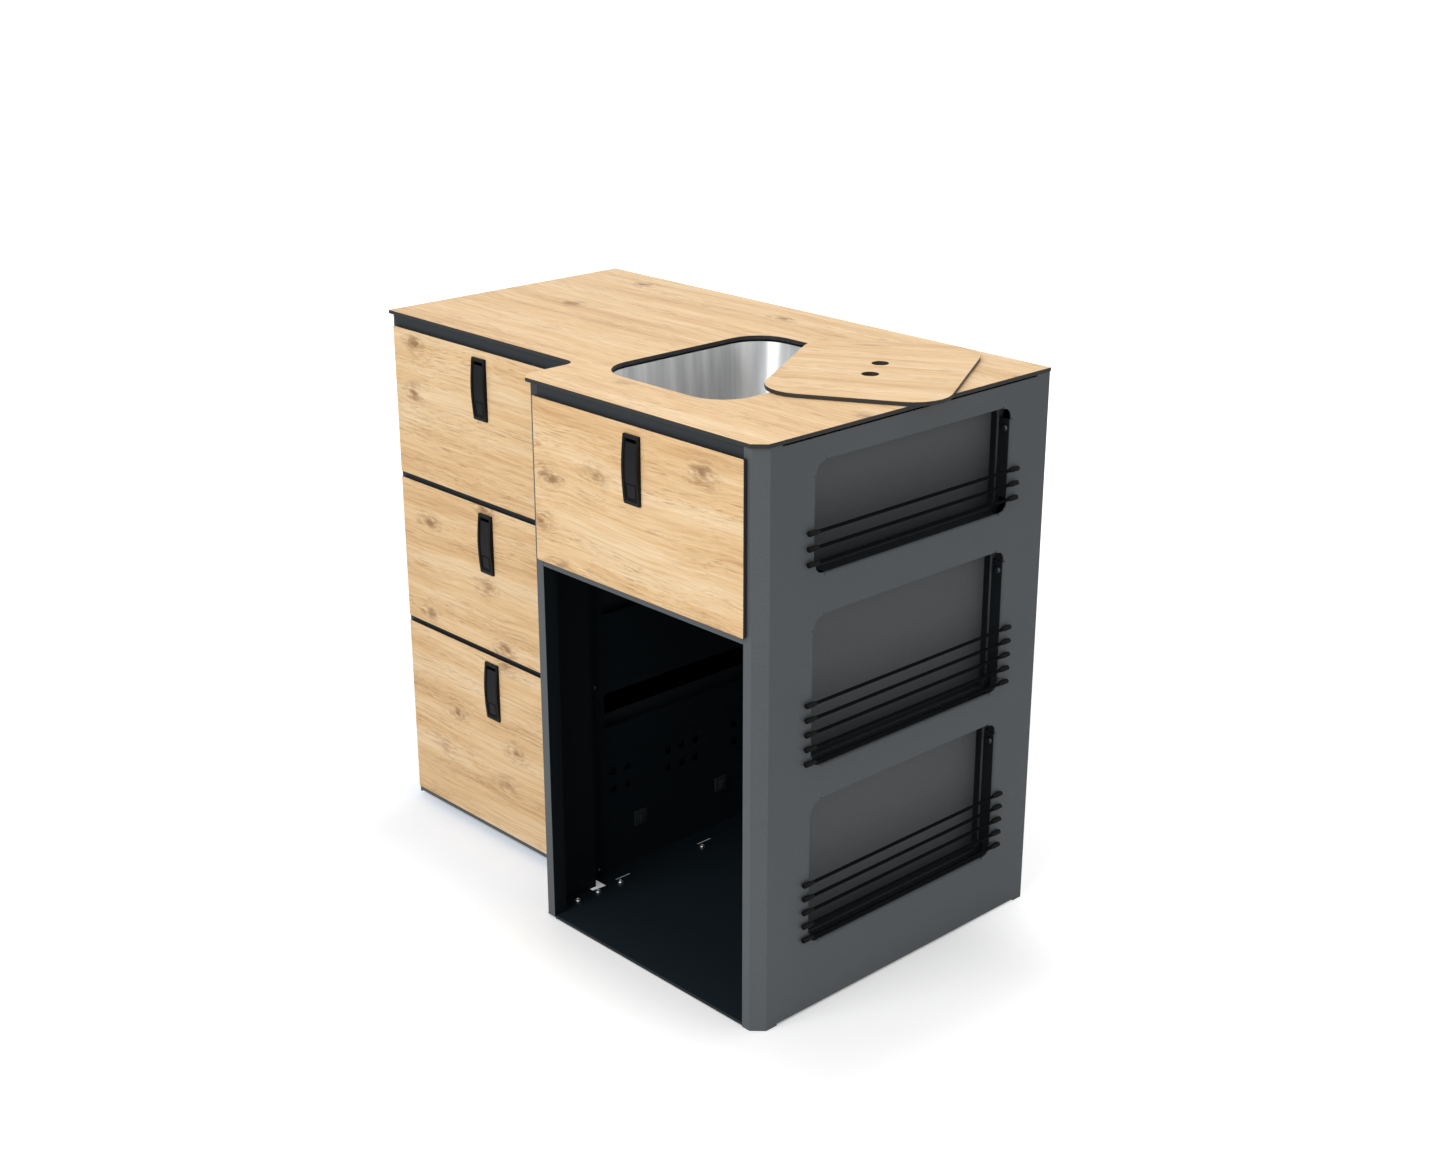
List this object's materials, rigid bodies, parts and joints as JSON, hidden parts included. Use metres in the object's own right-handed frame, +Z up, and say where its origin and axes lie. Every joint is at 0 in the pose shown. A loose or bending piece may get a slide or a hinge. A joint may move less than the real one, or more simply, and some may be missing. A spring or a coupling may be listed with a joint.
{
  "type": "campervan kitchen pod",
  "caption": "Stepped campervan kitchen pod with oak-look worktop and drawer fronts, sink with loose lid, open fridge bay and cord-fronted side pockets.",
  "frame": {"origin": "middle of the footprint of the whole pod, lid and handles included, on the floor", "axes": "+Z up, +X to the right along the drawer fronts, +Y to the back; the drawers open towards -Y"},
  "size_m": [0.998, 0.6018, 0.8763],
  "materials": {
    "oak_laminate": "matt oak-print compact laminate with a black core",
    "grey_powder_coat": "fine-texture grey powder coat on sheet steel",
    "dark_powder_coat": "fine-texture near-black powder coat on sheet steel",
    "black_plastic": "fine-grained black plastic",
    "stainless_steel": "brushed stainless steel",
    "zinc_steel": "zinc-plated steel",
    "black_rubber": "matt black rubber"
  },
  "bodies": {
    "carcass": {"worktop": "oak_laminate", "sink_seal": "black_rubber", "sink_bowl": "stainless_steel", "sink_waste": "stainless_steel", "right_side_panel": "grey_powder_coat", "pocket_pan_top": "grey_powder_coat", "pocket_pan_middle": "grey_powder_coat", "pocket_pan_bottom": "grey_powder_coat", "bay_front_post": "grey_powder_coat", "bay_wall": "dark_powder_coat", "service_plate": "dark_powder_coat", "cable_tie_base_front": "black_plastic", "cable_tie_base_back": "black_plastic", "bay_floor_plate": "dark_powder_coat", "bay_shelf": "grey_powder_coat", "runner_upright_left": "zinc_steel", "runner_upright_right": "zinc_steel", "left_side_panel": "grey_powder_coat", "left_base_panel": "grey_powder_coat", "foot_strip_front": "black_rubber", "foot_strip_back": "black_rubber", "back_panel": "grey_powder_coat", "fascia_left": "dark_powder_coat", "fascia_right": "dark_powder_coat", "cross_rail_upper": "dark_powder_coat", "cross_rail_lower": "dark_powder_coat", "pocket_cord_top_1": "black_rubber", "pocket_cord_top_2": "black_rubber", "pocket_cord_top_3": "black_rubber", "pocket_cord_middle_1": "black_rubber", "pocket_cord_middle_2": "black_rubber", "pocket_cord_middle_3": "black_rubber", "pocket_cord_middle_4": "black_rubber", "pocket_cord_middle_5": "black_rubber", "pocket_cord_bottom_1": "black_rubber", "pocket_cord_bottom_2": "black_rubber", "pocket_cord_bottom_3": "black_rubber", "pocket_cord_bottom_4": "black_rubber", "pocket_cord_bottom_5": "black_rubber"},
    "lid": {"sink_lid": "oak_laminate"},
    "drawer_right": {"drawer_front_right": "oak_laminate", "drawer_box_right": "grey_powder_coat", "handle_housing_right": "black_plastic"},
    "button_right": {"handle_button_right": "black_plastic"},
    "tongue_right": {"latch_tongue_right": "zinc_steel"},
    "drawer_left_top": {"drawer_front_left_top": "oak_laminate", "drawer_box_left_top": "grey_powder_coat", "handle_housing_left_top": "black_plastic"},
    "button_left_top": {"handle_button_left_top": "black_plastic"},
    "tongue_left_top": {"latch_tongue_left_top": "zinc_steel"},
    "drawer_left_middle": {"drawer_front_left_middle": "oak_laminate", "drawer_box_left_middle": "grey_powder_coat", "handle_housing_left_middle": "black_plastic"},
    "button_left_middle": {"handle_button_left_middle": "black_plastic"},
    "tongue_left_middle": {"latch_tongue_left_middle": "zinc_steel"},
    "drawer_left_bottom": {"drawer_front_left_bottom": "oak_laminate", "drawer_box_left_bottom": "grey_powder_coat", "handle_housing_left_bottom": "black_plastic"},
    "button_left_bottom": {"handle_button_left_bottom": "black_plastic"},
    "tongue_left_bottom": {"latch_tongue_left_bottom": "zinc_steel"}
  },
  "joints": [
    {"name": "drawer_slide_right", "type": "slide", "parent": "carcass", "child": "drawer_right", "axis": [0, -1, 0], "range_m": [0, 0.31]},
    {"name": "button_press_right", "type": "slide", "parent": "drawer_right", "child": "button_right", "axis": [0, 1, 0], "range_m": [0, 0.004], "stiffness_N_per_m": 400},
    {"name": "tongue_lift_right", "type": "slide", "parent": "drawer_right", "child": "tongue_right", "axis": [0, 0, 1], "range_m": [0, 0.006]},
    {"name": "drawer_slide_left_top", "type": "slide", "parent": "carcass", "child": "drawer_left_top", "axis": [0, -1, 0], "range_m": [0, 0.31]},
    {"name": "button_press_left_top", "type": "slide", "parent": "drawer_left_top", "child": "button_left_top", "axis": [0, 1, 0], "range_m": [0, 0.004], "stiffness_N_per_m": 400},
    {"name": "tongue_lift_left_top", "type": "slide", "parent": "drawer_left_top", "child": "tongue_left_top", "axis": [0, 0, 1], "range_m": [0, 0.006]},
    {"name": "drawer_slide_left_middle", "type": "slide", "parent": "carcass", "child": "drawer_left_middle", "axis": [0, -1, 0], "range_m": [0, 0.31]},
    {"name": "button_press_left_middle", "type": "slide", "parent": "drawer_left_middle", "child": "button_left_middle", "axis": [0, 1, 0], "range_m": [0, 0.004], "stiffness_N_per_m": 400},
    {"name": "tongue_lift_left_middle", "type": "slide", "parent": "drawer_left_middle", "child": "tongue_left_middle", "axis": [0, 0, 1], "range_m": [0, 0.006]},
    {"name": "drawer_slide_left_bottom", "type": "slide", "parent": "carcass", "child": "drawer_left_bottom", "axis": [0, -1, 0], "range_m": [0, 0.31]},
    {"name": "button_press_left_bottom", "type": "slide", "parent": "drawer_left_bottom", "child": "button_left_bottom", "axis": [0, 1, 0], "range_m": [0, 0.004], "stiffness_N_per_m": 400},
    {"name": "tongue_lift_left_bottom", "type": "slide", "parent": "drawer_left_bottom", "child": "tongue_left_bottom", "axis": [0, 0, 1], "range_m": [0, 0.006]},
    {"name": "lid_lift", "type": "slide", "parent": "carcass", "child": "lid", "axis": [0, 0, 1], "range_m": [0, 0.25]}
  ],
  "couplings": [
    {"joint": "tongue_lift_right", "follows": "button_press_right", "ratio": 1.5},
    {"joint": "tongue_lift_left_top", "follows": "button_press_left_top", "ratio": 1.5},
    {"joint": "tongue_lift_left_middle", "follows": "button_press_left_middle", "ratio": 1.5},
    {"joint": "tongue_lift_left_bottom", "follows": "button_press_left_bottom", "ratio": 1.5}
  ]
}
